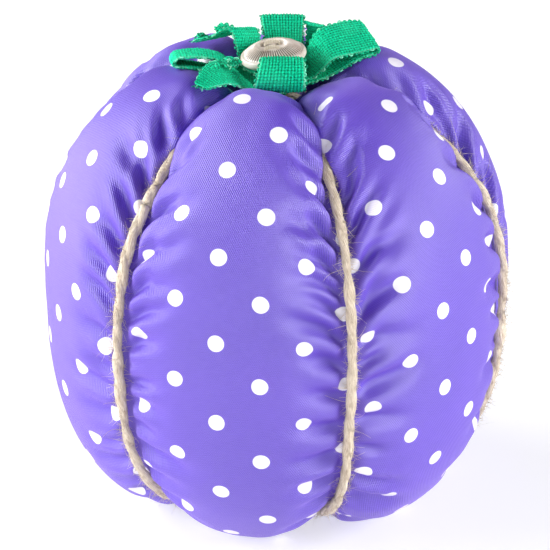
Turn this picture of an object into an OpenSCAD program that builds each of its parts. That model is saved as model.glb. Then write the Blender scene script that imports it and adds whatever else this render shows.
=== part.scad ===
// Pumpkin pin cushion: a stuffed fabric tube, drawn in at both ends and cinched
// into six lobes by three turns of twine, topped with ribbon leaves and a button.
// Millimetres, +Z up. The origin is on the base plane, below the middle of the body.

/* [Body] */
// Width of the stuffed body across its lobes
body_w = 100; // [90:1:120]
// Height of the outer lobe curve before its top is drawn in
crown_top = 102.5; // [98:0.5:108]
// How far the lobe curve would pass below the base plane
crown_sink = 3; // [2:0.5:4]
// Height of the widest level
waist_z = 52; // [48:1:56]
// Depth of the dimple under the button
top_dimple = 17.5; // [17:0.5:19]
// Depth of the dimple in the base
base_dimple = 13; // [12:0.5:15]
// Depth of the grooves at the widest level
groove_depth = 2; // [1:0.1:4]
// Thickness of the fabric, with its puckers
fabric_t = 0.6; // [0.4:0.1:1]
// Radius of the drawn-in opening at each end of the fabric tube
gather_r = 2.2; // [1.8:0.1:3]

/* [Twine] */
// Diameter of the twine
twine_d = 2.4; // [1.8:0.1:2.6]

/* [Ribbon] */
// Width of the ribbon
ribbon_w = 10; // [8:0.5:11]
// Thickness of the ribbon
ribbon_t = 0.6; // [0.4:0.1:0.7]

/* [Button] */
// Diameter of the button
button_d = 14; // [13:0.5:15]
// Thickness of the button at its rim
button_rim_t = 2; // [1.6:0.1:2.4]
// Height of the button's domed top above its rim
button_dome = 1.5; // [0.8:0.1:1.6]
// Diameter of each of the four holes
button_hole_d = 1.9; // [1.5:0.1:2.1]
// Lean of the button towards the front, in degrees
button_tilt = 3; // [0:1:7]
// Lean of the button towards its left, in degrees
button_roll = 8; // [0:1:9]

/* [Hidden] */
$fn = 48;
body_r = body_w / 2;
// Directions of the six grooves round the body, from the front, clockwise from above is negative
groove_dirs = [-41, 18, 77, 139, 198, 257];
LOBES = len(groove_dirs);
lobe_steps = 12;
side_steps = 30;
// Squareness of the outlines: 2 is an ellipse, and more is boxier
low_n = 3;
high_n = 2.3;
groove_high_n = 2.1;
// Width of the dimples
top_dimple_r = 12.8;
base_dimple_r = 12;
// Lowest and highest level of the groove curve before its own dimples
groove_low = 4;
groove_high = 94.5;
groove_top_dimple = groove_high - (crown_top - top_dimple);
groove_top_dimple_r = 16;
groove_base_dimple = base_dimple - crown_sink - groove_low;
groove_base_dimple_r = 14;
// Exponents of a lobe's cross-section between two grooves
lobe_round = 2.1;
lobe_full = 0.74;
clear = 0.2;
fill_gap = 0.3;
twine_r = twine_d / 2;
// Half the width of the channel that each turn of twine presses into the fabric
channel = twine_r + 0.4;
channel_share = 0.32;
twine_sides = 8;
twine_rings = 76;
crossing_r = 7;
layer = twine_d + 0.1;
pole_top = crown_top - top_dimple;
pole_base = base_dimple - crown_sink;
// Levels of the stacked ribbon and button, above the crossing of the twine
stack_z = pole_top + 3 * layer + 0.8;
ply = ribbon_t + clear;
button_x = -0.6;
hole_pitch = 3.2;
button_z = stack_z + 5.5 * ply + button_d / 2 * sin(button_roll);

// ---- outline curves; side runs from -90 at the base to 90 at the top ----

function power(v, n) = pow(abs(v), 2 / n);

function crown_r(side) = body_r * power(cos(side), side < 0 ? low_n : high_n);

function crown_z(side) =
    let (r = crown_r(side))
    side < 0
        ? waist_z - (waist_z + crown_sink) * power(sin(side), low_n)
          + base_dimple * exp(-pow(r / base_dimple_r, 2))
        : waist_z + (crown_top - waist_z) * power(sin(side), high_n)
          - top_dimple * exp(-pow(r / top_dimple_r, 2));

function groove_r(side) = (body_r - groove_depth) * power(cos(side), side < 0 ? low_n : groove_high_n);

function groove_z(side) =
    let (r = groove_r(side))
    side < 0
        ? waist_z - (waist_z - groove_low) * power(sin(side), low_n)
          + groove_base_dimple * exp(-pow(r / groove_base_dimple_r, 2))
        : waist_z + (groove_high - waist_z) * power(sin(side), groove_high_n)
          - groove_top_dimple * exp(-pow(r / groove_top_dimple_r, 2));

// Share of the crown curve at u, from -1 at one groove to 1 at the next
function fullness(u) = pow(1 - pow(abs(u), lobe_round), lobe_full);

// The side values stop short of the poles, so the tube keeps a small opening at each end
low_end = -90 + asin(pow(gather_r / body_r, low_n / 2));
high_end = 90 - asin(pow(gather_r / body_r, high_n / 2));
function side_at(k, steps) = low_end + (high_end - low_end) * k / steps;

function lobe_from(lobe) = groove_dirs[lobe];
function lobe_to(lobe) = lobe == LOBES - 1 ? groove_dirs[0] + 360 : groove_dirs[lobe + 1];

// Each lobe's first and last step are its share of the two channels beside it
function body_point(k, j, inset) =
    let (side = side_at(k, side_steps), lobe = floor(j / lobe_steps), step = j % lobe_steps,
         from = lobe_from(lobe), span = lobe_to(lobe) - from,
         edge = min(channel_share, channel / (groove_r(side) * span * PI / 180)),
         f = (step - 1) / (lobe_steps - 2),
         w = step == 0 ? 0 : fullness(2 * f - 1),
         r = groove_r(side) + w * (crown_r(side) - groove_r(side)) - inset * cos(side),
         z = groove_z(side) + w * (crown_z(side) - groove_z(side)) - inset * sin(side),
         a = from + span * (step == 0 ? 0 : edge + (1 - 2 * edge) * f))
    [r * sin(a), -r * cos(a), max(z, side < 0 ? inset : z)];

around = LOBES * lobe_steps;

function grid(inset) =
    [for (k = [0 : side_steps]) for (j = [0 : around - 1]) body_point(k, j, inset)];

function quads(first, rows, cols, flip) =
    [for (k = [0 : rows - 1]) for (j = [0 : cols - 1])
        let (a = first + k * cols + j, b = first + k * cols + (j + 1) % cols,
             c = b + cols, d = a + cols)
        for (t = flip ? [[a, b, c], [a, c, d]] : [[a, c, b], [a, d, c]]) t];

// Triangles that join two rings, each of cols points
function band(lower, upper, cols) =
    [for (j = [0 : cols - 1])
        let (a = lower + j, b = lower + (j + 1) % cols, c = upper + (j + 1) % cols, d = upper + j)
        for (t = [[a, c, b], [a, d, c]]) t];

// ---- twine: a closed tube along points that a function gives ----

function unit(v) = v / norm(v);

module closed_tube(path, r, sides) {
    n = len(path);
    points = [for (i = [0 : n - 1])
        let (along = unit(path[(i + 1) % n] - path[(i + n - 1) % n]),
             across = unit(cross(along, path[i] - [0, 0, waist_z])),
             out = cross(across, along))
        for (s = [0 : sides - 1])
            path[i] + r * (cos(360 * s / sides) * out + sin(360 * s / sides) * across)];
    faces = [for (i = [0 : n - 1]) for (s = [0 : sides - 1])
        let (a = i * sides + s, b = i * sides + (s + 1) % sides,
             c = ((i + 1) % n) * sides + (s + 1) % sides, d = ((i + 1) % n) * sides + s)
        for (t = [[a, c, b], [a, d, c]]) t];
    polyhedron(points, faces, convexity = 6);
}

// One turn of twine lies in the plane through two opposite grooves, a layer further out
// than the turn before it where they cross
function wrap_point(t, dir, turn) =
    let (back = t > 180, side = back ? 270 - t : t - 90, sign = back ? -1 : 1,
         r = groove_r(side), z = groove_z(side), lift = twine_r + clear,
         stack = turn * layer * exp(-pow(r / crossing_r, 2)),
         rho = sign * (r + lift * cos(side)), up = z + (lift + stack) * sin(side))
    [rho * sin(dir), -rho * cos(dir), up];

module twine_wrap(dir, turn) {
    path = [for (i = [0 : twine_rings - 1]) wrap_point(360 * i / twine_rings, dir, turn)];
    closed_tube(path, twine_r, twine_sides);
}

// ---- ribbon: a flat strip swept along a curve ----

// Catmull-Rom curve through the points of a list
function curve_point(p, i, f) =
    let (n = len(p), a = p[max(i - 1, 0)], b = p[i], c = p[i + 1], d = p[min(i + 2, n - 1)])
    0.5 * (2 * b + (c - a) * f + (2 * a - 5 * b + 4 * c - d) * f * f
           + (3 * b - a - 3 * c + d) * f * f * f);

function curve(p, steps = 5) =
    concat([for (i = [0 : len(p) - 2]) for (s = [0 : steps - 1]) curve_point(p, i, s / steps)],
           [p[len(p) - 1]]);

// One leg of a ribbon's course: its rows run in the direction dir, counted from the front. A row
// holds the distance from the middle and the height above the stack, and may go on with the
// ribbon's bank in degrees, its shift sideways and its share of the full width
function leg(dir, rows) =
    [for (row = rows)
        let (side = len(row) > 3 ? row[3] : 0)
        [row[0] * sin(dir) + side * cos(dir), side * sin(dir) - row[0] * cos(dir), stack_z + row[1],
         dir, len(row) > 2 ? row[2] : 0, len(row) > 4 ? row[4] : 1]];

function place(row) = [row[0], row[1], row[2]];

function section(q, i) =
    let (here = q[i], dir = here[3], bank = here[4], centre = place(here),
         along = unit(place(q[min(i + 1, len(q) - 1)]) - place(q[max(i - 1, 0)])),
         across = [cos(bank) * cos(dir), cos(bank) * sin(dir), sin(bank)],
         half = across * here[5] * ribbon_w / 2,
         thick = unit(cross(along, across)) * ribbon_t / 2)
    [centre - half - thick, centre + half - thick, centre + half + thick, centre - half + thick];

module ribbon_strip(course) {
    q = curve(course);
    last = 4 * (len(q) - 1);
    sides = [for (i = [0 : len(q) - 2]) for (k = [0 : 3])
        let (a = 4 * i + k, b = 4 * i + (k + 1) % 4)
        for (t = [[a, a + 4, b + 4], [a, b + 4, b]]) t];
    polyhedron([for (i = [0 : len(q) - 1]) each section(q, i)],
               concat(sides, [[0, 1, 2, 3], [last + 3, last + 2, last + 1, last]]), convexity = 10);
}

// ---- pieces ----

module fabric_cover() color("mediumpurple") {
    rows = side_steps;
    inner = (rows + 1) * around;
    points = concat(grid(0), grid(fabric_t));
    faces = concat(quads(0, rows, around, false), quads(inner, rows, around, true),
                   band(inner, 0, around), band(rows * around, inner + rows * around, around));
    polyhedron(points, faces, convexity = 10);
}

module fibre_fill() color("white") {
    rows = side_steps;
    base = (rows + 1) * around;
    points = concat(grid(fabric_t + fill_gap),
                    [[0, 0, body_point(0, 0, fabric_t + fill_gap).z],
                     [0, 0, body_point(rows, 0, fabric_t + fill_gap).z]]);
    caps = [for (j = [0 : around - 1]) let (b = (j + 1) % around)
        for (t = [[base, j, b], [base + 1, rows * around + b, rows * around + j]]) t];
    polyhedron(points, concat(quads(0, rows, around, false), caps), convexity = 10);
}

// The tube's seam runs up the middle of the back lobe, just inside the cover
seam_dir = (groove_dirs[3] + groove_dirs[4]) / 2;
seam_stitches = 40;
stitch_r = 0.1;
stitch_l = 2;
module side_seam_thread() color("indigo")
    for (i = [4 : seam_stitches - 5]) {
        side = -90 + 180 * (i + 0.5) / seam_stitches;
        depth = fabric_t + fill_gap / 2;
        next = side + 1;
        rise = atan2(crown_z(next) - crown_z(side), crown_r(next) - crown_r(side));
        rotate([0, 0, seam_dir - 90])
            translate([crown_r(side) - depth * cos(side), 0, crown_z(side) - depth * sin(side)])
                rotate([0, 90 - rise, 0]) cylinder(h = stitch_l, r = stitch_r, center = true);
    }

module gathering_thread(z) color("indigo") translate([0, 0, z])
    rotate_extrude() translate([gather_r / 2, 0]) circle(0.25, $fn = 16);

module top_gathering_thread() gathering_thread(body_point(side_steps, 0, 0).z - 0.35);

module base_gathering_thread() gathering_thread(body_point(0, 0, 0).z + 0.35);

module twine_wrap_left() color("tan") twine_wrap(groove_dirs[0], 0);

module twine_wrap_centre() color("tan") twine_wrap(groove_dirs[1], 1);

module twine_wrap_right() color("tan") twine_wrap(groove_dirs[2], 2);

module twine_knot() color("burlywood")
    translate([-4.2, -3.2, stack_z - 2.2]) {
        sphere(1.5, $fn = 32);
        for (side = [-1, 1]) rotate([0, 84, -150 + 14 * side]) cylinder(h = 3.4, r = 0.8, $fn = 24);
    }

// Needle holes let the button's thread through each ribbon
module sewn() difference() {
    children();
    at_each_hole() translate([0, 0, -12]) cylinder(h = 14, d = 1, $fn = 16);
}

// A tail at the front left, through the middle, to a half-width curl at the back right
module ribbon_lower_strip() color("seagreen") sewn() ribbon_strip(concat(
    leg(-44, [[22.4, 5.1, -8, 0, 0.35], [20.4, 5.9, -14, 0, 0.55], [17.2, 6.5, -24, 0, 0.72],
              [13.5, 5.6, -32, 0.6, 0.8], [10.5, 3.3, -26, 1.4, 0.75], [8, 1.1, -14, 1.8, 0.7],
              [6.4, 0.2, -6, 1.4, 0.7], [4.4, 0, 0, 0.6, 0.8], [1, 0]]),
    leg(-34, [[-4, 0, 0, 0, 0.7], [-9, 0.2, 0, 0.2, 0.5], [-11.8, 1, 0, 0.3, 0.5],
              [-13.6, 3.8, 0, 0.4, 0.5], [-14.4, 7, 0, 0.5, 0.5], [-14.2, 9, 0, 0.6, 0.5],
              [-13, 9.8, 0, 0.6, 0.5]])));

// A loop to the right, back through the middle, and a loop to the left
module ribbon_side_loops() color("mediumseagreen") sewn() ribbon_strip(concat(
    leg(103, [[-0.6, ply]]),
    leg(112, [[4, ply], [8, 1.6, 2], [12, 3.4, 8], [16, 5.4, 12], [19, 6.3, 13],
              [20.6, 6.7, 14], [21.5, 7.5, 16], [20.6, 8.3, 19], [17, 8.2, 24], [13.5, 7.9, 22],
              [11.2, 7.2, 16], [9.8, 5.8, 8], [8.6, 4], [6.6, 2.1], [4, 2 * ply]]),
    leg(95, [[-1, 2 * ply], [-5, 2 * ply, 0, 0.8, 0.75], [-7.6, 2.4, 0, 1.2, 0.7],
             [-9.6, 3.8, -4, 1.2, 0.7], [-12, 5.9, -8, 0.9, 0.8], [-16, 7.2, -10], [-20.6, 7.1, -10],
             [-22, 6.1, -10], [-21.4, 5.1, -10], [-19.6, 4.9, -10], [-16, 4.2, -10, 0.2],
             [-12, 2.8, -8, 0.9, 0.8], [-9, 1.9, -4, 1.2, 0.7], [-6, 1.4, 0, 0.8, 0.75]]),
    leg(103, [[-1.1, ply]])));

module ribbon_back_left_tail() color("seagreen") sewn() ribbon_strip(
    leg(-138, [[-1, 3 * ply], [2.6, 3 * ply, 0, 0.4, 0.8], [4.6, 3 * ply, 2, 0.8, 0.7],
               [6.8, 3.4, 6, 0.8, 0.7], [8.4, 6.2, 10, 0.6, 0.7], [9.4, 8.6, 12, 0.4, 0.75],
               [10.5, 9.6, 12, 0.4, 0.8], [12.4, 9, 10, 1.2, 0.7], [14.5, 7.8, 6, 3, 0.6],
               [18.6, 6.4, 4, 5.7, 0.3]]));

// A loop to the front, back through the middle, and a loop to the back
module ribbon_front_back_loops() color("mediumseagreen") sewn() ribbon_strip(
    leg(0, [[1, 4 * ply, 0, 0.6], [6, 3.1, 0, 0.6], [10, 2.6, 0, 0.6], [12.6, 3, 0, 0.4, 1.04],
            [14, 4.8, 0, 0.6], [13.8, 7.2, 0, 0.9, 0.95], [12, 9, 0, 1.1, 0.9],
            [10.2, 9.2, 0, 1.1, 0.88], [9, 7.8, 0, 1, 0.88], [8.4, 5.8, 0, 1, 0.9],
            [7, 4.6, 0, 0.8, 0.95], [4, 4.1, 0, 0.6], [0, 5 * ply, 0, 1.2, 0.95],
            [-5, 4.5, 0, 1.6, 0.8], [-8, 6.2, 0, 1.5, 0.8], [-10.6, 8.6, 0, 1.3, 0.85],
            [-12.4, 10.4, 0, 1.2, 0.9], [-14.4, 10.2, 0, 1.2, 0.9], [-14.6, 8, 0, 1.2, 0.85],
            [-12.2, 5, 0, 1.4, 0.8], [-8, 3.5, 0, 1.6, 0.8], [-4, 4 * ply, 0, 1.6, 0.85],
            [-1, 4 * ply, 0, 1.6]]));

module at_button() translate([button_x, 0, button_z]) rotate([button_tilt, -button_roll, 0]) children();
module at_each_hole() at_button() for (x = [-1, 1]) for (y = [-1, 1])
    translate([x * hole_pitch / 2, y * hole_pitch / 2, 0]) children();

module button() color("antiquewhite") difference() {
    at_button() rotate_extrude() {
        edge = button_d / 2;
        shoulder = edge - 1.4;
        polygon(concat([[0, 0], [edge - 0.8, 0], [edge, 0.8], [edge, button_rim_t - 0.4],
                        [edge - 0.6, button_rim_t], [shoulder, button_rim_t]],
                       [for (a = [0 : 15 : 90])
                           [shoulder * cos(a), button_rim_t + button_dome * sin(a)]]));
    }
    at_each_hole() translate([0, 0, -1])
        cylinder(h = button_rim_t + button_dome + 2, d = button_hole_d, $fn = 24);
}

// Two stitches across the button's face, each with its legs down through a pair of holes
module button_thread() color("wheat") at_button()
    for (y = [-1, 1]) translate([0, y * hole_pitch / 2, 0]) {
        top = button_rim_t + button_dome + 0.45;
        leg = button_z - stack_z + 0.6;
        for (x = [-1, 1]) translate([x * hole_pitch / 2, 0, -leg])
            cylinder(h = top + leg, r = 0.4, $fn = 20);
        translate([-hole_pitch / 2, 0, top]) rotate([0, 90, 0]) cylinder(h = hole_pitch, r = 0.4, $fn = 20);
        for (x = [-1, 1]) translate([x * hole_pitch / 2, 0, top]) sphere(0.4, $fn = 20);
    }

fabric_cover();
fibre_fill();
side_seam_thread();
top_gathering_thread();
base_gathering_thread();
twine_wrap_left();
twine_wrap_centre();
twine_wrap_right();
twine_knot();
ribbon_lower_strip();
ribbon_side_loops();
ribbon_back_left_tail();
ribbon_front_back_loops();
button();
button_thread();
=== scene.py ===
"""Pumpkin pin cushion: the looks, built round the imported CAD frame. Lengths here are in
millimetres until a mesh is made, and metres after that."""
import math

import bpy
import numpy as np
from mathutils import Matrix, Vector


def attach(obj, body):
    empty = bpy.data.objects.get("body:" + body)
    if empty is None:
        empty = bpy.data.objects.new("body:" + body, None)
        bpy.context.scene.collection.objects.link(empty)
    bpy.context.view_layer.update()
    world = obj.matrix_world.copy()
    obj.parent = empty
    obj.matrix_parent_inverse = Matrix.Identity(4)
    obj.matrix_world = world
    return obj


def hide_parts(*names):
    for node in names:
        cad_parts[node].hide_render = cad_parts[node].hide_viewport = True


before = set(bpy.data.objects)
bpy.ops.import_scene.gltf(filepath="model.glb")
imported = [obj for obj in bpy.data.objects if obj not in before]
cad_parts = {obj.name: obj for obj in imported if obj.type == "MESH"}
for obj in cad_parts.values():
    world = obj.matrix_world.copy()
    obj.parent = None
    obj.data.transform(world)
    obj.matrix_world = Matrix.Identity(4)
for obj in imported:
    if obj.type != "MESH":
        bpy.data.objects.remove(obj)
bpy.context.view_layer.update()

MM = 0.001
rng = np.random.default_rng(20)

# ---- driving dimensions: those of the CAD part, in mm ----

BODY_R = 50.0
CROWN_TOP = 102.5
CROWN_SINK = 3.0
WAIST_Z = 52.0
TOP_DIMPLE, TOP_DIMPLE_R = 17.5, 12.8
BASE_DIMPLE, BASE_DIMPLE_R = 13.0, 12.0
GROOVE_DEPTH = 2.0
GROOVE_LOW, GROOVE_HIGH = 4.0, 94.5
GROOVE_TOP_DIMPLE, GROOVE_TOP_DIMPLE_R = 9.5, 16.0
GROOVE_BASE_DIMPLE, GROOVE_BASE_DIMPLE_R = 6.0, 14.0
LOW_N, HIGH_N, GROOVE_HIGH_N = 3.0, 2.3, 2.1
LOBE_ROUND, LOBE_FULL = 2.1, 0.74
GATHER_R = 2.2
GROOVE_DIRS = [-41.0, 18.0, 77.0, 139.0, 198.0, 257.0]
LOBES = len(GROOVE_DIRS)

TWINE_R = 1.2
TWINE_CLEAR = 0.2
LAYER = 2 * TWINE_R + 0.1
CROSSING_R = 7.0
POLE_TOP = CROWN_TOP - TOP_DIMPLE

RIBBON_W, RIBBON_T = 10.0, 0.6
WALES = 14
STITCH = 0.62
STACK_Z = POLE_TOP + 3 * LAYER + 0.8
PLY = RIBBON_T + 0.2

BUTTON_D = 14.0
BUTTON_RIM_T, BUTTON_DOME = 2.0, 1.5
BUTTON_TILT, BUTTON_ROLL = math.radians(3), math.radians(8)
BUTTON_X = -0.6
BUTTON_Z = STACK_Z + 5.5 * PLY + BUTTON_D / 2 * math.sin(BUTTON_ROLL)
HOLE_PITCH, HOLE_D = 3.2, 1.9


# ---- meshes ----

def new_mesh(name, verts_mm, faces, smooth=True):
    """A mesh object from vertices in mm and faces as an array or a list."""
    mesh = bpy.data.meshes.new(name)
    mesh.from_pydata((np.asarray(verts_mm, float) * MM).tolist(), [],
                     [list(map(int, f)) for f in faces])
    mesh.update()
    if smooth:
        mesh.polygons.foreach_set("use_smooth", [True] * len(mesh.polygons))
    piece = bpy.data.objects.new(name, mesh)
    bpy.context.scene.collection.objects.link(piece)
    return piece


def finish_piece(piece, material, node):
    """Give a piece its material, let it ride, and stand it for its CAD node."""
    piece.data.materials.append(material)
    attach(piece, "root")
    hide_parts(node)


def grid_faces(rows, cols, closed=True):
    """Quads of a grid of rows by cols points, closed round its columns or open."""
    i, j = np.meshgrid(np.arange(rows - 1), np.arange(cols if closed else cols - 1), indexing="ij")
    a = i * cols + j
    b = i * cols + (j + 1) % cols
    return np.stack([a, b, b + cols, a + cols], -1).reshape(-1, 4)


def capped_faces(rows, cols):
    """A closed grid's faces with a fan over each end, round two more vertices: first, last."""
    count, last = rows * cols, (rows - 1) * cols
    faces = list(grid_faces(rows, cols))
    faces += [(count, (j + 1) % cols, j) for j in range(cols)]
    return faces + [(count + 1, last + j, last + (j + 1) % cols) for j in range(cols)]


def unit(v):
    """Vectors [..., xyz] at length 1."""
    return v / np.maximum(np.linalg.norm(v, axis=-1, keepdims=True), 1e-9)


def running(steps):
    """The running sum of a curve's steps, from 0."""
    return np.concatenate([[0], np.cumsum(steps)])


def lengths(path):
    """The length along a path at each of its points."""
    return running(np.linalg.norm(np.diff(path, axis=0), axis=1))


def catmull_rom(a, b, c, d, f):
    """The smooth curve from b (f = 0) to c (f = 1), with a before them and d after."""
    return 0.5 * (2 * b + (c - a) * f + (2 * a - 5 * b + 4 * c - d) * f ** 2
                  + (3 * b - a - 3 * c + d) * f ** 3)


# ---- the body's outline, as in the CAD part ----

def power(value, n):
    """A superellipse's power of a sine or cosine."""
    return np.abs(value) ** (2 / n)


def outline(side, r_eq, high_n, low_z, high_z, top, top_r, base, base_r):
    """Radius and height along a curve from the base (side = -90 deg) to the top (90 deg)."""
    low = side < 0
    r = np.where(low, r_eq * power(np.cos(side), LOW_N), r_eq * power(np.cos(side), high_n))
    z_low = WAIST_Z - (WAIST_Z - low_z) * power(np.sin(side), LOW_N)
    z_low = z_low + base * np.exp(-(r / base_r) ** 2)
    z_high = WAIST_Z + (high_z - WAIST_Z) * power(np.sin(side), high_n)
    z_high = z_high - top * np.exp(-(r / top_r) ** 2)
    return r, np.where(low, z_low, z_high)


def crown(side):
    """The curve down the middle of a lobe."""
    return outline(side, BODY_R, HIGH_N, -CROWN_SINK, CROWN_TOP,
                   TOP_DIMPLE, TOP_DIMPLE_R, BASE_DIMPLE, BASE_DIMPLE_R)


def groove(side):
    """The curve down a groove between two lobes."""
    return outline(side, BODY_R - GROOVE_DEPTH, GROOVE_HIGH_N, GROOVE_LOW, GROOVE_HIGH,
                   GROOVE_TOP_DIMPLE, GROOVE_TOP_DIMPLE_R, GROOVE_BASE_DIMPLE, GROOVE_BASE_DIMPLE_R)


def by_length(curve, share):
    """Radius and height at shares of a curve's length, between the tube's two openings."""
    side = np.linspace(-math.pi / 2, math.pi / 2, 4001)
    r, z = curve(side)
    z = np.maximum(z, 0)
    keep = r >= GATHER_R
    r, z = r[keep], z[keep]
    along = running(np.hypot(np.diff(r), np.diff(z)))
    share = share * along[-1]
    return np.interp(share, along, r), np.interp(share, along, z), along[-1]


# ---- the cover: a fabric tube, settled as cloth between its pinned grooves ----

ROWS = 224
LOBE_COLS = 70
COLS = LOBES * LOBE_COLS
CHANNEL = TWINE_R + 0.35
CHANNEL_COLS = 3
FABRIC_T = 0.35
HEM_ROWS = 10
CREASE_Z = 83.0
CREASE_GAP = 4.2
DIAGONAL_SOFT = 0.35
SETTLE_ROUNDS, QUICK_ROUNDS = 90, 12
CLOTH_STIFF = 0.12
FILL_PUSH = 0.004
PUCKER_GAIN, PUCKER_IN, PUCKER_OUT = 2.1, 2.4, 1.6


def lobe_cols(lobe):
    """The columns of one lobe, from the groove at its start."""
    return slice(lobe * LOBE_COLS, (lobe + 1) * LOBE_COLS)


def from_groove(g):
    """How many columns each column is from a groove, with its sign."""
    return (np.arange(COLS) - g * LOBE_COLS + COLS // 2) % COLS - COLS // 2


def smooth_step(x):
    """A smooth rise from 0 to 1 as x does."""
    x = np.clip(x, 0, 1)
    return x * x * (3 - 2 * x)


def cover_base():
    """The smooth lobed tube [row, column, xyz] and the length of its crown line in mm."""
    share = np.linspace(0, 1, ROWS)
    rc, zc, crown_len = by_length(crown, share)
    rg, zg, _ = by_length(groove, share)
    # round the top dimple the lobes are squarer and meet over the twine
    tight = smooth_step((zc - 86) / 8) * smooth_step((rc - 3) / 5) * smooth_step((38 - rc) / 14)
    tight = tight[:, None]
    base = np.zeros((ROWS, COLS, 3))
    for lobe in range(LOBES):
        start = GROOVE_DIRS[lobe]
        end = GROOVE_DIRS[(lobe + 1) % LOBES] + (360 if lobe == LOBES - 1 else 0)
        span = math.radians(end - start)
        edge = np.minimum(0.3, CHANNEL / (rg * span))[:, None]
        step = np.arange(LOBE_COLS)[None, :]
        inner = (step - CHANNEL_COLS) / (LOBE_COLS - 2 * CHANNEL_COLS)
        f = np.where(step < CHANNEL_COLS, step / CHANNEL_COLS * edge, edge + (1 - 2 * edge) * inner)
        far_edge = 1 - (LOBE_COLS - step) / CHANNEL_COLS * edge
        f = np.where(step > LOBE_COLS - CHANNEL_COLS, far_edge, f)
        u = np.clip(2 * inner - 1, -1, 1) + 0 * edge
        w = (1 - np.abs(u) ** (LOBE_ROUND + 1.9 * tight)) ** (LOBE_FULL - 0.3 * tight)
        r = rg[:, None] + w * (rc - rg)[:, None]
        z = zg[:, None] + w * (zc - zg)[:, None]
        a = math.radians(start) + span * f
        base[:, lobe_cols(lobe)] = np.stack([r * np.sin(a), -r * np.cos(a), z], -1)
    return base, crown_len


def normals(p):
    """Unit normals of the grid, pointing out."""
    across = np.roll(p, -1, 1) - np.roll(p, 1, 1)
    along = np.gradient(p, axis=0)
    return unit(np.cross(across, along))


def relax_pair(p, a, b, rest, weight, soft):
    """Move the points at index a and b towards their rest distance."""
    d = p[b] - p[a]
    length = np.sqrt(np.einsum("...k,...k->...", d, d)) + 1e-9
    wa, wb = weight[a], weight[b]
    pull = soft * (length - rest) / (length * np.maximum(wa + wb, 1e-6))
    p[a] += (wa * pull)[..., None] * d
    p[b] -= (wb * pull)[..., None] * d


def constraint_sets(rest_across, rest_along, rest_diagonal):
    """The tube's threads and diagonals, in sets whose members share no point."""
    sets = []
    for start in (0, 1):
        a = np.arange(start, COLS, 2)
        b = (a + 1) % COLS
        sets.append(((slice(None), a), (slice(None), b), rest_across[:, a], 1.0))
    every = np.arange(COLS)
    right = (every + 1) % COLS
    for start in (0, 1):
        i = np.arange(start, ROWS - 1, 2)
        sets.append((np.ix_(i, every), np.ix_(i + 1, every), rest_along[i], 1.0))
        sets.append((np.ix_(i, every), np.ix_(i + 1, right), rest_diagonal[i], DIAGONAL_SOFT))
        sets.append((np.ix_(i, right), np.ix_(i + 1, every), rest_diagonal[i], DIAGONAL_SOFT))
    return sets


def lap(d):
    """How far each point is from the mean of its four neighbours."""
    rows = np.concatenate([d[:1], d, d[-1:]])
    return (rows[:-2] + rows[2:] + np.roll(d, 1, 1) + np.roll(d, -1, 1)) / 4 - d


def pucker_seeds(gap, along_mm):
    """Creases that start at the twine and run out into the lobes, as depths in mm. Each one
    follows the cloth's rows, with a narrow valley at the twine that widens and dies away."""
    depth = np.zeros(gap.shape)
    for g in range(LOBES):
        side = from_groove(g)
        near = np.abs(side) < LOBE_COLS / 2
        at = rng.uniform(6, 12)
        while at < along_mm[-1] - 8:   # none in the last 8 mm, at the opening
            for sign in (-1, 1):
                reach = rng.uniform(9, 24)
                half = rng.uniform(0.9, 1.8)
                lean = rng.normal(0, 0.12)
                y = at + rng.uniform(-1.6, 1.6) - lean * gap
                fade = np.clip(1 - gap / reach, 0, 1) ** 1.2
                valley = np.exp(-((along_mm[:, None] - y) / (half + 0.06 * gap)) ** 2)
                crease = -rng.uniform(1.1, 2.8) * fade * valley
                depth += np.where(near & (side * sign > 0), crease, 0)
            at += rng.uniform(5.0, 9.0)
    return depth


def groove_gap(across):
    """Each point's distance along its row from the nearest groove, in mm."""
    gap = np.zeros((ROWS, COLS))
    for lobe in range(LOBES):
        cols = lobe_cols(lobe)
        here = np.cumsum(across[:, cols], 1)
        gap[:, cols] = np.minimum(here - across[:, cols], here[:, [-1]] - here + across[:, cols])
    return gap


def close_creases(p, gap, rows_mm, top_mm):
    """Near the top the lobes swell over the twine until they meet."""
    high = smooth_step((p[..., 2] - CREASE_Z) / 7)
    high = high * smooth_step((top_mm - rows_mm[:, None]) / 7)
    for g in range(LOBES):
        a = math.radians(GROOVE_DIRS[g])
        across = np.array([math.cos(a), math.sin(a), 0])
        side = from_groove(g)
        near = (np.abs(side) < LOBE_COLS / 2) & (side != 0)
        lateral = p @ across
        lean = 2.6 + 1.8 * smooth_step((p[..., 2] - 88) / 8)
        lean = lean * np.exp(-((gap - CREASE_GAP) / 2.5) ** 2) * high
        room = np.maximum(np.abs(lateral) - 0.2, 0)
        p -= np.where(near, np.sign(lateral) * np.minimum(lean, room), 0)[..., None] * across
    return p


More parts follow.
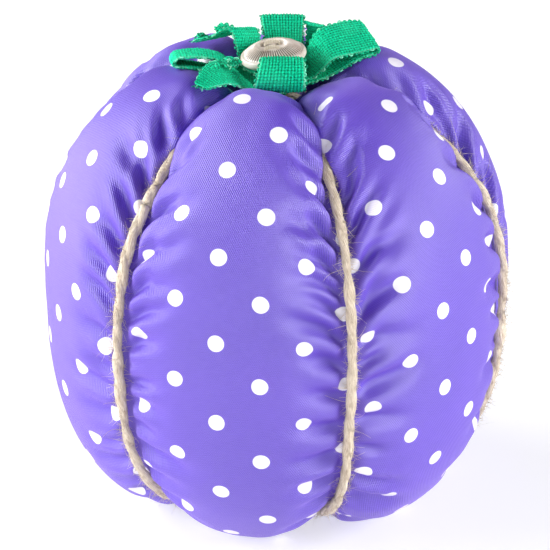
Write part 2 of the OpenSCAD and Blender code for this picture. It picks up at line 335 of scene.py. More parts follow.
def settle_cover():
    """Cloth, solved by positions: the tube's threads keep their cut length, the grooves are
    held by the twine, the fill pushes out, and the shorter groove lines throw up puckers."""
    base, crown_len = cover_base()
    across = np.linalg.norm(np.roll(base, -1, 1) - base, axis=-1)
    gap = groove_gap(across)
    along_mm = np.linspace(0, crown_len, ROWS)
    base = close_creases(base, gap, along_mm, crown_len)
    across = np.linalg.norm(np.roll(base, -1, 1) - base, axis=-1)
    drawn = np.linalg.norm(base[1:] - base[:-1], axis=-1)
    along = drawn + np.maximum(crown_len / (ROWS - 1) - drawn, 0)
    diagonal = np.sqrt(((across[1:] + across[:-1]) / 2) ** 2 + along ** 2)
    steps = np.arange(COLS) % LOBE_COLS
    out = normals(base)
    p = base + out * pucker_seeds(gap, along_mm)[..., None]
    p += out * (rng.normal(0, 0.06, gap.shape) * (gap < 20))[..., None]
    weight = np.ones((ROWS, COLS))
    weight[:, np.minimum(steps, LOBE_COLS - steps) < CHANNEL_COLS] = 0.0
    weight[:3] = weight[-3:] = 0.0
    p[weight == 0] = base[weight == 0]
    sets = constraint_sets(across, along, diagonal)
    ends = np.minimum(np.arange(ROWS), ROWS - 1 - np.arange(ROWS))[:, None]
    # how far in and out the cloth may move, and how hard it is drawn back to the smooth shape,
    # which is least near the twine
    free = smooth_step((gap - CHANNEL) / 1.8) * smooth_step(ends / 14)
    low, high = -0.1 - 2.2 * free, 0.1 + 1.7 * free
    calm = 0.004 + 0.05 * smooth_step((gap - 12) / 14)
    for _ in range(SETTLE_ROUNDS):
        for a, b, rest, soft in sets:
            relax_pair(p, a, b, rest, weight, soft)
        d = p - base
        for _ in range(4):
            d = d - lap(lap(d)) * CLOTH_STIFF * weight[..., None]
        lift = np.einsum("...k,...k->...", d, out)
        pushed = np.clip(lift + FILL_PUSH, low, high)
        d += out * ((pushed - lift) * weight)[..., None]
        p = base + d * (1 - (calm * weight)[..., None])
        p[..., 2] = np.maximum(p[..., 2], 0.0)
    d = p - base
    lift = np.einsum("...k,...k->...", d, out)
    sunk = PUCKER_IN * np.tanh(lift * PUCKER_GAIN / PUCKER_IN)
    raised = PUCKER_OUT * np.tanh(lift * PUCKER_GAIN / PUCKER_OUT)
    fuller = np.where(lift < 0, sunk, raised)
    p = p + out * ((fuller - lift) * free)[..., None]
    p[..., 2] = np.maximum(p[..., 2], 0.0)
    return p, across, along_mm


# ---- shader building ----

def srgb(r, g, b):
    """A display colour, 0 to 255, as the linear colour a shader takes."""
    def channel(v):
        v /= 255
        return v / 12.92 if v <= 0.04045 else ((v + 0.055) / 1.055) ** 2.4
    return (channel(r), channel(g), channel(b), 1)


class Shader:
    """A Principled material and the few kinds of node that the finishes are built from."""

    def __init__(self, name, colour, roughness, **sockets):
        self.material = bpy.data.materials.new(name)
        self.material.use_nodes = True
        self.tree = self.material.node_tree
        self.surface = self.tree.nodes["Principled BSDF"]
        self.surface.inputs["Base Color"].default_value = colour
        self.surface.inputs["Roughness"].default_value = roughness
        for socket, value in sockets.items():
            self.surface.inputs[socket.replace("_", " ")].default_value = value

    def node(self, kind, **settings):
        made = self.tree.nodes.new(kind)
        for key, value in settings.items():
            setattr(made, key, value)
        return made

    def feed(self, socket, value):
        if isinstance(value, bpy.types.NodeSocket):
            self.tree.links.new(value, socket)
        else:
            socket.default_value = value

    def math(self, operation, a, b=0.0, c=0.0):
        made = self.node("ShaderNodeMath", operation=operation)
        for socket, value in zip(made.inputs, (a, b, c)):
            self.feed(socket, value)
        return made.outputs[0]

    def times(self, a, b):
        return self.math("MULTIPLY", a, b)

    def plus(self, a, b):
        return self.math("ADD", a, b)

    def mix(self, share, a, b):
        made = self.node("ShaderNodeMix", data_type="RGBA")
        for socket, value in ((made.inputs[0], share), (made.inputs[6], a), (made.inputs[7], b)):
            self.feed(socket, value)
        return made.outputs[2]

    def uv(self, name):
        """The two coordinates of a UV map, in mm."""
        vector = self.node("ShaderNodeUVMap", uv_map=name).outputs[0]
        parts = self.node("ShaderNodeSeparateXYZ")
        self.feed(parts.inputs[0], vector)
        return tuple(self.times(parts.outputs[k], 1 / MM) for k in (0, 1))

    def vector(self, x, y, z=0.0):
        made = self.node("ShaderNodeCombineXYZ")
        for socket, value in zip(made.inputs, (x, y, z)):
            self.feed(socket, value)
        return made.outputs[0]

    def noise(self, vector, scale, detail=3.0, roughness=0.5):
        made = self.node("ShaderNodeTexNoise")
        if vector is None:
            vector = self.node("ShaderNodeTexCoord").outputs["Object"]
        self.feed(made.inputs["Vector"], vector)
        made.inputs["Scale"].default_value = scale
        made.inputs["Detail"].default_value = detail
        made.inputs["Roughness"].default_value = roughness
        return made.outputs[0]

    def wave(self, value, period, phase=0.0):
        """A sine of a length in mm, from 0 to 1."""
        turn = self.math("MULTIPLY_ADD", value, 2 * math.pi / period, phase)
        return self.math("MULTIPLY_ADD", self.math("SINE", turn), 0.5, 0.5)

    def range(self, value, lo, hi, to_lo=0.0, to_hi=1.0):
        made = self.node("ShaderNodeMapRange", clamp=True)
        for socket, v in zip(made.inputs, (value, lo, hi, to_lo, to_hi)):
            self.feed(socket, v)
        return made.outputs[0]

    def bump(self, height, depth_mm):
        made = self.node("ShaderNodeBump")
        made.inputs["Distance"].default_value = depth_mm * MM
        self.feed(made.inputs["Height"], height)
        self.feed(self.surface.inputs["Normal"], made.outputs[0])

    def colour(self, value):
        self.feed(self.surface.inputs["Base Color"], value)

    def roughness(self, value):
        self.feed(self.surface.inputs["Roughness"], value)


# ---- materials ----

DOT_R = 1.76
DOT_PITCH = 17.8


def dotted_satin():
    s = Shader("dotted_satin", srgb(104, 72, 210), 0.42, Sheen_Weight=0.4, Sheen_Roughness=0.5,
               Specular_IOR_Level=0.85, IOR=1.7)
    s.surface.inputs["Sheen Tint"].default_value = srgb(196, 170, 255)
    u, v = s.uv("fabric")
    drift = s.math("MULTIPLY_ADD", s.noise(s.vector(u, v), 0.11, 1.0), 0.6, -0.3)
    distances = []
    for half in (0.0, 0.5):
        squares = []
        for along in (u, v):
            pitches = s.math("DIVIDE", s.plus(along, drift), DOT_PITCH)
            cell = s.math("FRACT", s.plus(pitches, half + 0.5))
            gap = s.times(s.math("SUBTRACT", cell, 0.5), DOT_PITCH)
            squares.append(s.math("POWER", gap, 2.0))
        distances.append(s.math("SQRT", s.plus(*squares)))
    dot = s.range(s.math("MINIMUM", *distances), DOT_R + 0.07, DOT_R - 0.07)
    lean = s.plus(u, s.times(v, 0.62))
    twill = s.wave(lean, 0.44)
    picks = s.wave(s.plus(v, s.times(u, -0.2)), 0.5)
    weave = s.times(twill, s.math("MULTIPLY_ADD", picks, 0.45, 0.55))
    slub = s.noise(s.vector(s.times(u, 0.25), s.times(v, 2.2)), 1.2)
    patch = s.noise(None, 38.0, 2.0)
    shade = s.plus(s.times(weave, 0.5), s.times(patch, 0.45))
    cloth = s.mix(shade, srgb(57, 18, 165), srgb(98, 52, 209))
    s.colour(s.mix(dot, cloth, srgb(240, 237, 243)))
    s.roughness(s.range(s.plus(weave, slub), 0.2, 1.6, 0.44, 0.58))
    plain = s.times(weave, s.math("MULTIPLY_ADD", dot, -0.55, 1.0))
    s.bump(s.plus(plain, s.times(slub, 0.5)), 0.09)
    return s.material


def jute():
    s = Shader("jute", srgb(222, 202, 174), 0.8, Sheen_Weight=0.15)
    u, v = s.uv("strand")
    drawn_out = s.vector(s.times(u, 5.0), s.times(v, 0.35))
    strands = s.noise(drawn_out, 1.4, 4.0, 0.6)
    patch = s.noise(None, 90.0, 3.0)
    fine = s.range(strands, 0.3, 0.66)
    cloth = s.mix(fine, srgb(160, 126, 88), srgb(252, 240, 220))
    s.colour(s.mix(s.range(patch, 0.35, 0.75, 0.0, 0.5), cloth, srgb(244, 232, 212)))
    s.bump(strands, 0.4)
    return s.material


def looped_ribbon():
    s = Shader("looped_ribbon", srgb(10, 168, 118), 0.85, Sheen_Weight=0.25, Sheen_Roughness=0.4,
               Specular_IOR_Level=0.12)
    s.surface.inputs["Sheen Tint"].default_value = srgb(90, 240, 180)
    u, v = s.uv("ribbon")
    grain = s.noise(s.vector(u, v), 2.6, 3.0, 0.65)
    patch = s.noise(None, 160.0, 2.0)
    # the wale and stitch waves paint the ribs' crests lighter and the troughs between them darker:
    # painted highlight and shade on the knit's relief, with the grain's random tone mixed in
    wale_shading = s.wave(u, RIBBON_W / WALES, -math.pi / 2)
    stitch_shading = s.wave(s.plus(v, s.times(grain, 0.5)), STITCH)
    yarn = s.plus(s.times(wale_shading, 0.24), s.math("MULTIPLY_ADD", stitch_shading, 0.16, grain))
    cloth = s.mix(s.range(yarn, 0.44, 1.0), srgb(0, 88, 60), srgb(14, 240, 180))
    worn = s.mix(s.range(patch, 0.4, 0.8, 0.0, 0.3), cloth, srgb(70, 232, 176))
    # the ribbon's edges and the yarn loops past them are painted pale: a painted highlight
    from_middle = s.math("ABSOLUTE", s.math("SUBTRACT", u, RIBBON_W / 2))
    edge = s.range(from_middle, RIBBON_W / 2 - 0.3, RIBBON_W / 2 + 0.2, 0.0, 0.7)
    s.colour(s.mix(edge, worn, srgb(140, 232, 196)))
    s.bump(grain, 0.12)
    return s.material


def pearl():
    s = Shader("pearl", srgb(226, 217, 205), 0.28, Coat_Weight=0.35, Coat_Roughness=0.15,
               Subsurface_Weight=0.15, Specular_IOR_Level=0.55)
    s.surface.inputs["Subsurface Radius"].default_value = (0.0008, 0.0006, 0.0005)
    cloud = s.noise(None, 260.0, 4.0, 0.6)
    swirl = s.noise(None, 90.0, 2.0)
    base = s.mix(s.range(cloud, 0.3, 0.7), srgb(204, 190, 174), srgb(240, 234, 226))
    shade = s.mix(s.range(swirl, 0.35, 0.7, 0.0, 0.4), base, srgb(226, 204, 200))
    u, v = s.uv("rim")
    # the furrows between the dome's ridges are painted dark brown: painted shade in the ridge
    # valleys
    ridged = s.times(s.range(u, 3.3, 3.8), s.range(u, 6.3, 6.0))
    furrow_shade = s.times(s.wave(v, 1.0, -math.pi / 2), ridged)
    turned = s.mix(furrow_shade, shade, srgb(92, 78, 68))
    # down in the holes the pearl is painted dark: painted shade
    s.colour(s.mix(s.range(u, -0.5, -3.5), turned, srgb(66, 50, 40)))
    s.roughness(s.range(cloud, 0.2, 0.8, 0.22, 0.4))
    s.bump(cloud, 0.03)
    return s.material


def thread(name, colour, dark):
    s = Shader(name, colour, 0.75, Sheen_Weight=0.3)
    u, v = s.uv("strand")
    twist = s.wave(s.plus(s.times(u, 1.2), v), 0.5)
    s.colour(s.mix(twist, dark, colour))
    s.bump(twist, 0.06)
    return s.material


def fluff():
    s = Shader("fluff", srgb(236, 235, 230), 0.95, Sheen_Weight=0.4)
    tuft = s.noise(None, 220.0, 5.0, 0.7)
    s.colour(s.mix(tuft, srgb(214, 213, 206), srgb(248, 247, 243)))
    s.bump(tuft, 0.8)
    return s.material


SATIN, JUTE, RIBBON, PEARL, FLUFF = dotted_satin(), jute(), looped_ribbon(), pearl(), fluff()
COTTON = thread("cotton_thread", srgb(246, 238, 222), srgb(214, 200, 172))
SEWING = thread("seam_thread", srgb(110, 88, 214), srgb(70, 50, 160))


def set_uv(piece, name, u_mm, v_mm):
    """A UV map from each vertex's two lengths in mm."""
    layer = piece.data.uv_layers.new(name=name)
    index = np.zeros(len(piece.data.loops), int)
    piece.data.loops.foreach_get("vertex_index", index)
    uv = np.stack([np.asarray(u_mm)[index], np.asarray(v_mm)[index]], -1) * MM
    layer.data.foreach_set("uv", uv.ravel())


# ---- building the cover and what it holds ----

# where each lobe's middle falls on the printed cloth: across, along and how far it leans
CLOTH_AT = [(2.3, -3.6, 0.0), (2.3, -5.6, 0.075), (5.6, -2.0, 0.0),
            (1.2, -7.4, 0.02), (5.6, -1.5, -0.03), (4.2, -6.4, 0.0)]


def cloth_corners(across, along_mm):
    """The cloth coordinates, in mm, of each quad's four corners. Widths are measured from a
    lobe's middle, so the cloth that a groove tucks away lies under the twine."""
    width = np.zeros((ROWS, LOBES, LOBE_COLS + 1))
    length = np.zeros_like(width)
    for lobe in range(LOBES):
        here = np.cumsum(across[:, lobe_cols(lobe)], 1)
        width[:, lobe, 1:] = here
        width[:, lobe] -= here[:, [-1]] / 2
        shift_u, shift_v, lean = CLOTH_AT[lobe]
        width[:, lobe] += shift_u + lean * np.maximum(along_mm - 70, 0)[:, None]
        length[:, lobe] = along_mm[:, None] + shift_v
    flat = np.stack([width, length], -1)
    low, high = flat[:-1], flat[1:]
    corners = np.stack([low[:, :, :-1], low[:, :, 1:], high[:, :, 1:], high[:, :, :-1]], 3)
    return corners.reshape(-1, 4, 2)


def make_cover():
    """The printed cover, with its hems turned in at both openings of the tube."""
    p, across, along_mm = settle_cover()
    inner = p - normals(p) * FABRIC_T
    inner[..., 2] = np.maximum(inner[..., 2], FABRIC_T * 0.9)
    verts = np.concatenate([p.reshape(-1, 3), inner.reshape(-1, 3)])
    count = ROWS * COLS
    quads = grid_faces(ROWS, COLS)
    corners = cloth_corners(across, along_mm)
    ring = np.arange(COLS)
    follow = (ring + 1) % COLS
    top = (ROWS - 1) * COLS
    low_lip = np.stack([ring, count + ring, count + follow, follow], -1)
    top_lip = np.stack([follow, count + follow, count + ring, ring], -1) + top
    lips = np.concatenate([low_lip, top_lip])
    in_low, in_top = slice(0, (HEM_ROWS - 1) * COLS), slice((ROWS - HEM_ROWS) * COLS, None)
    hems = np.concatenate([quads[in_low], quads[in_top]])[:, ::-1] + count
    faces = np.concatenate([quads, hems, lips])
    corners = np.concatenate([corners, corners[in_low][:, ::-1], corners[in_top][:, ::-1],
                              corners[:COLS][:, [0, 0, 1, 1]], corners[-COLS:][:, [2, 2, 3, 3]]])
    used, index = np.unique(faces, return_inverse=True)
    cover = new_mesh("dotted_cover", verts[used], index.reshape(faces.shape))
    cover.data.uv_layers.new(name="fabric").data.foreach_set("uv", (corners * MM).ravel())
    finish_piece(cover, SATIN, "fabric_cover")
    return p


FILL_INSET = 3.2


def make_fill(cover_points):
    """The stuffing: a lumpy body inside the cover, clear of its deepest puckers."""
    step = 4
    p = cover_points
    for _ in range(6):
        p = p + lap(p)
    p = p[::step, ::step]
    out = normals(p)
    lump = rng.normal(0, 0.25, p.shape[:2])
    for _ in range(2):
        lump = lump + lap(lump[..., None])[..., 0]
    p = p - out * (FILL_INSET + np.clip(lump, -0.5, 0.5))[..., None]
    p[..., 2] = np.maximum(p[..., 2], FILL_INSET / 2)
    rows, cols = p.shape[:2]
    verts = np.concatenate([p.reshape(-1, 3), p[:1].mean(1), p[-1:].mean(1)])
    fill = new_mesh("stuffing", verts, capped_faces(rows, cols))
    finish_piece(fill, FLUFF, "fibre_fill")


# ---- twine ----

def frames(path):
    """Tangent and two cross directions at each point of a path."""
    t = unit(np.gradient(path, axis=0))
    side = unit(np.cross(t, path - np.array([0, 0, WAIST_Z])))
    return t, side, np.cross(side, t)


def tube(path, radius, sides, closed=False):
    """Vertices, faces and UV lengths of a tube along a path, its radius a number or an array."""
    t = unit(np.gradient(path, axis=0))
    side = unit(np.cross(t, np.array([0.31, 0.57, 0.76])))
    up = np.cross(side, t)
    a = np.arange(sides) * 2 * math.pi / sides
    radius = np.broadcast_to(radius, len(path))[:, None, None]
    ring = np.cos(a)[None, :, None] * side[:, None] + np.sin(a)[None, :, None] * up[:, None]
    verts = (path[:, None] + radius * ring).reshape(-1, 3)
    n = len(path)
    faces = [tuple(f) for f in grid_faces(n, sides)[:, ::-1]]
    if closed:
        last = (n - 1) * sides
        faces += [(s, (s + 1) % sides, last + (s + 1) % sides, last + s) for s in range(sides)]
    else:
        faces += [tuple(range(sides)), tuple((n - 1) * sides + s for s in range(sides))[::-1]]
    length = lengths(path)
    u = np.tile(np.arange(sides) * 2 * math.pi * np.mean(radius) / sides, n)
    v = np.repeat(length, sides)
    return verts, faces, u, v


def joined(parts):
    """Several (vertices, faces, u, v) as one."""
    verts, faces, us, vs, first = [], [], [], [], 0
    for p, f, u, v in parts:
        verts.append(p)
        faces += [tuple(first + i for i in face) for face in f]
        us.append(u)
        vs.append(v)
        first += len(p)
    return np.concatenate(verts), faces, np.concatenate(us), np.concatenate(vs)


def piece_of(name, parts, uv, material, node):
    """A finished piece made of several (vertices, faces, u, v)."""
    verts, faces, u, v = joined(parts)
    piece = new_mesh(name, verts, faces)
    set_uv(piece, uv, u, v)
    finish_piece(piece, material, node)
    return piece


def wrap_path(direction, turn, count):
    """The CAD twine's own closed curve through two opposite grooves."""
    share = np.linspace(0, 2, count, endpoint=False)
    back = share > 1
    t = np.where(back, 2 - share, share)
    side_table = np.linspace(-math.pi / 2, math.pi / 2, 4001)
    r, z = groove(side_table)
    along = running(np.hypot(np.diff(r), np.diff(z)))
    side = np.interp(t * along[-1], along, side_table)
    r, z = groove(side)
    lift = TWINE_R + TWINE_CLEAR
    stack = turn * LAYER * np.exp(-(r / CROSSING_R) ** 2)
    rho = np.where(back, -1, 1) * (r + lift * np.cos(side))
    up = z + (lift + stack) * np.sin(side)
    a = math.radians(direction)
    return np.stack([rho * math.sin(a), -rho * math.cos(a), up], -1)


def slow_noise(count, knots, size):
    """A smooth closed random line of count values."""
    spots = rng.normal(0, size, knots)
    x = np.arange(count) / count * knots
    i = np.floor(x).astype(int)
    f = x - i
    return catmull_rom(*(spots[(i + k) % knots] for k in (-1, 0, 1, 2)), f)


PLIES = 2
PLY_PITCH = 12.0
PLY_R = 0.86
PLY_OUT = 0.27


def plies(path, closed, thickness):
    """The twisted plies of a twine along a path."""
    _, side, out = frames(path)
    length = lengths(path)
    turns = round(length[-1] / PLY_PITCH) if closed else length[-1] / PLY_PITCH
    wound = turns * length / length[-1] * len(path) / (len(path) + closed)
    made = []
    for k in range(PLIES):
        a = 2 * math.pi * (k / PLIES + wound)
        off = PLY_OUT * thickness
        line = path + (off * np.cos(a))[:, None] * side + (off * np.sin(a))[:, None] * out
        uneven = 1 + slow_noise(len(path), max(8, int(length[-1] / 4)), 0.1)
        made.append(tube(line, PLY_R * thickness * uneven, 10, closed))
    return made


def stray_fibres(path, count, shortest, longest, thick, steps=5):
    """Fine hairs that leave the twine at a slant and curl, and stay clear of the floor."""
    t, side, out = frames(path)
    made = []
    s = np.linspace(0, 1, steps)[:, None]
    for _ in range(count):
        i = rng.integers(2, len(path) - 2)
        a = rng.uniform(-0.5, math.pi + 0.5)
        away = math.cos(a) * side[i] + math.sin(a) * out[i]
        run = t[i] * rng.choice([-1, 1])
        size = rng.uniform(shortest, longest)
        slant = rng.uniform(0.3, 0.9)
        line = (path[i] + away * TWINE_R * 0.72
                + size * (s * (run * (1 - slant) + away * slant) + s ** 2 * rng.normal(0, 0.3, 3)
                          + s ** 3 * rng.normal(0, 0.25, 3)))
        line[:, 2] = np.maximum(line[:, 2], 0.3)
        made.append(tube(line, np.linspace(thick, thick * 0.4, steps), 3))
    return made


def make_wrap(name, node, direction, turn):
    """One full turn of twine, uneven, with four slubs and its loose fibres."""
    count = 420
    path = wrap_path(direction, turn, count)
    path = path + frames(path)[1] * slow_noise(count, 34, 0.22)[:, None]
    thickness = 1 + 0.07 * slow_noise(count, 60, 1.0)
    for _ in range(4):
        slub = rng.integers(0, count)
        gap = np.abs(np.arange(count) - slub)
        gap = np.minimum(gap, count - gap)
        thickness += 0.22 * np.exp(-(gap / 2.5) ** 2)
    share = 1
    fibres = (stray_fibres(path, int(3000 * share), 0.6, 1.7, 0.05, 4)
              + stray_fibres(path, int(420 * share), 1.5, 3.8, 0.055, 6)
              + stray_fibres(path, int(24 * share), 3.5, 7.0, 0.06, 8))
    piece_of(name, plies(path, True, thickness) + fibres, "strand", JUTE, node)


# ---- ribbon ----

def rounded_curve(points, spacing):
    """A Catmull-Rom curve at even spacing through points of up to three axes and any extras."""
    p = np.asarray(points, float)
    p = np.concatenate([2 * p[:1] - p[1:2], p, 2 * p[-1:] - p[-2:-1]])
    fine = []
    for i in range(len(p) - 3):
        f = np.linspace(0, 1, 24, endpoint=False)[:, None]
        fine.append(catmull_rom(*p[i:i + 4], f))
    fine = np.concatenate(fine + [p[-2:-1]])
    along = lengths(fine[:, :3])
    at = np.linspace(0, along[-1], max(8, int(along[-1] / spacing)))
    return np.stack([np.interp(at, along, fine[:, k]) for k in range(p.shape[1])], -1), at


def leg(direction, rows):
    """One leg of a ribbon's course, as in the CAD part: rows of distance from the middle, height
    above the stack, bank in degrees, shift sideways and share of the full width."""
    a = math.radians(direction)
    made = []
    for row in rows:
        distance, height, bank, side, share = tuple(row) + (0, 0, 1)[len(row) - 2:]
        made.append((distance * math.sin(a) + side * math.cos(a),
                     side * math.sin(a) - distance * math.cos(a),
                     STACK_Z + height, direction, bank, share))
    return made


RIBBON_CUP = 0.1
RIBBON_WAVE = 0.12
RIBBON_RELIEF = 0.23
RIBBON_ROUGH = 0.075


def ribbon_strip(course):
    """A knitted ribbon along a course, with its wales, its edge loops and a little waviness."""
    q, at = rounded_curve(course, 0.2)
    rows, cols = len(at), 4 * WALES + 1
    centre, turn, bank, share = q[:, :3], np.radians(q[:, 3]), np.radians(q[:, 4]), q[:, 5]
    t = unit(np.gradient(centre, axis=0))
    wide = np.stack([np.cos(bank) * np.cos(turn), np.cos(bank) * np.sin(turn), np.sin(bank)], -1)
    face = unit(np.cross(t, wide))
    x = np.linspace(-RIBBON_W / 2, RIBBON_W / 2, cols)
    local = (x / (RIBBON_W / WALES)) % 1 - 0.5
    rib = np.cos(math.pi * local) ** 2
    phase = at[:, None] / STITCH + 0.5 * np.abs(local)[None, :] + rng.uniform(0, 1)
    stitch = 0.5 + 0.5 * np.cos(2 * math.pi * phase)
    relief = RIBBON_RELIEF * rib[None, :] * (0.35 + 0.65 * stitch)
    bend = RIBBON_CUP * (2 * np.abs(x) / RIBBON_W) ** 2 - RIBBON_CUP / 2
    sway = RIBBON_WAVE * slow_noise(rows, max(5, rows // 30), 1.0)
    tilt = 0.5 * RIBBON_WAVE * slow_noise(rows, max(5, rows // 40), 1.0)
    rough = rng.normal(0, RIBBON_ROUGH, (rows, cols))
    middle = bend[None, :] + sway[:, None] * 0.3 + tilt[:, None] * (2 * x / RIBBON_W)[None, :]
    uneven = 1 + 0.015 * slow_noise(rows, max(5, rows // 25), 1.0)
    across = wide[:, None] * (x[None, :] * (share * uneven)[:, None])[..., None]
    half = (RIBBON_T / 2 - 0.08) * np.clip((RIBBON_W / 2 - np.abs(x)) / 0.5, 0.25, 1)[None, :]
    sides = []
    for sign in (1, -1):
        off = middle + sign * (half + relief) + rough
        sides.append(centre[:, None] + across + face[:, None] * off[..., None])
    count = rows * cols
    quads = grid_faces(rows, cols, closed=False)
    faces = [tuple(f) for f in quads[:, ::-1]] + [tuple(f) for f in count + quads]
    border = ([j for j in range(cols)] + [i * cols + cols - 1 for i in range(1, rows)]
              + [(rows - 1) * cols + j for j in range(cols - 2, -1, -1)]
              + [i * cols for i in range(rows - 2, 0, -1)])
    faces += [(a0, b0, count + b0, count + a0) for a0, b0 in zip(border, border[1:] + border[:1])]
    verts = np.concatenate([side.reshape(-1, 3) for side in sides])
    u = np.tile(np.broadcast_to(x + RIBBON_W / 2, (rows, cols)).ravel(), 2)
    v = np.tile(np.repeat(at, cols), 2)
    made = [(verts, faces, u, v)]
    for sign, c in ((-1, 0), (1, cols - 1)):
        made += edge_loops((sides[0][:, c] + sides[1][:, c]) / 2, sign * wide, face, at)
    return made, at[-1]


EDGE_PITCH = 1.2
# the material colours a yarn by how far across the ribbon it is: past the edge it is palest, a
# painted highlight
PAINTED_HIGHLIGHT_U = -1.0
YARN_U = [PAINTED_HIGHLIGHT_U, 0.5, RIBBON_W / 2]
YARN_R = 0.17


def yarn_loop(start, run, outward, size, reach):
    """A small loop of yarn."""
    a = np.linspace(-0.3, math.pi + 0.3, 7)[:, None]
    return tube(start + run * np.cos(a) * size + outward * np.sin(a) * reach, YARN_R, 5)


def edge_loops(line, outward, face, at):
    """The row of loops along a ribbon's edge."""
    made = []
    for s in np.arange(EDGE_PITCH / 2, at[-1], EDGE_PITCH):
        i = int(np.interp(s, at, np.arange(len(at))))
        run = line[min(i + 2, len(line) - 1)] - line[max(i - 2, 0)]
        run /= np.linalg.norm(run) + 1e-9
        away = outward[i] + face[i] * rng.normal(0, 0.15)
        start = line[i] + rng.normal(0, 0.05, 3)
        verts, faces, u, v = yarn_loop(start, run, away, 0.34, rng.uniform(0.15, 0.42))
        # the first of the yarn u values paints a loop pale, a painted highlight
        made.append((verts, faces, u * 0 + rng.choice(YARN_U, p=[0.3, 0.3, 0.4]), v))
    return made


def tuft(row, shift, spread, count):
    """A cluster of loops near a row of a course, where the ribbon is knotted."""
    centre = np.array(row[:3]) + shift
    made = []
    for _ in range(count):
        away = rng.normal(0, 1, 3)
        away[2] = abs(away[2])
        away /= np.linalg.norm(away)
        run = np.cross(away, rng.normal(0, 1, 3))
        run /= np.linalg.norm(run)
        start = centre + away * spread * np.array([1, 1, 0.5]) * rng.uniform(0.5, 1)
        size, reach = rng.uniform(0.3, 0.5), rng.uniform(0.35, 0.6)
        verts, faces, u, v = yarn_loop(start, run, away, size, reach)
        # the first of the yarn u values paints a loop pale, a painted highlight
        made.append((verts, faces, u * 0 + rng.choice(YARN_U, p=[0.15, 0.35, 0.5]), v))
    return made


def frayed(course, last, before, half, length):
    """Nine threads that hang out of a course's cut end."""
    tip, inner = np.array(course[last][:3]), np.array(course[before][:3])
    along = (tip - inner) / np.linalg.norm(tip - inner)
    turn = math.radians(course[last][3])
    wide = np.array([math.cos(turn), math.sin(turn), 0.0])
    made = []
    for x in np.linspace(-half, half, 9):
        s = np.linspace(0, 1, 6)[:, None]
        reach = length * rng.uniform(0.5, 1)
        line = tip + wide * x + s * along * reach + s ** 2 * rng.normal(0, 0.3, 3) * reach
        verts, faces, u, v = tube(line, np.linspace(0.16, 0.07, 6), 5)
        # about half the threads take the pale painted highlight past the edge
        made.append((verts, faces, u * 0 + rng.choice([PAINTED_HIGHLIGHT_U, RIBBON_W / 2]), v))
    return made


def make_ribbon(name, node, course, extras=()):
    """One ribbon piece: the strip along its course, with its extras."""
    parts, length = ribbon_strip(course)
    piece = piece_of(name, parts + list(extras), "ribbon", RIBBON, node)


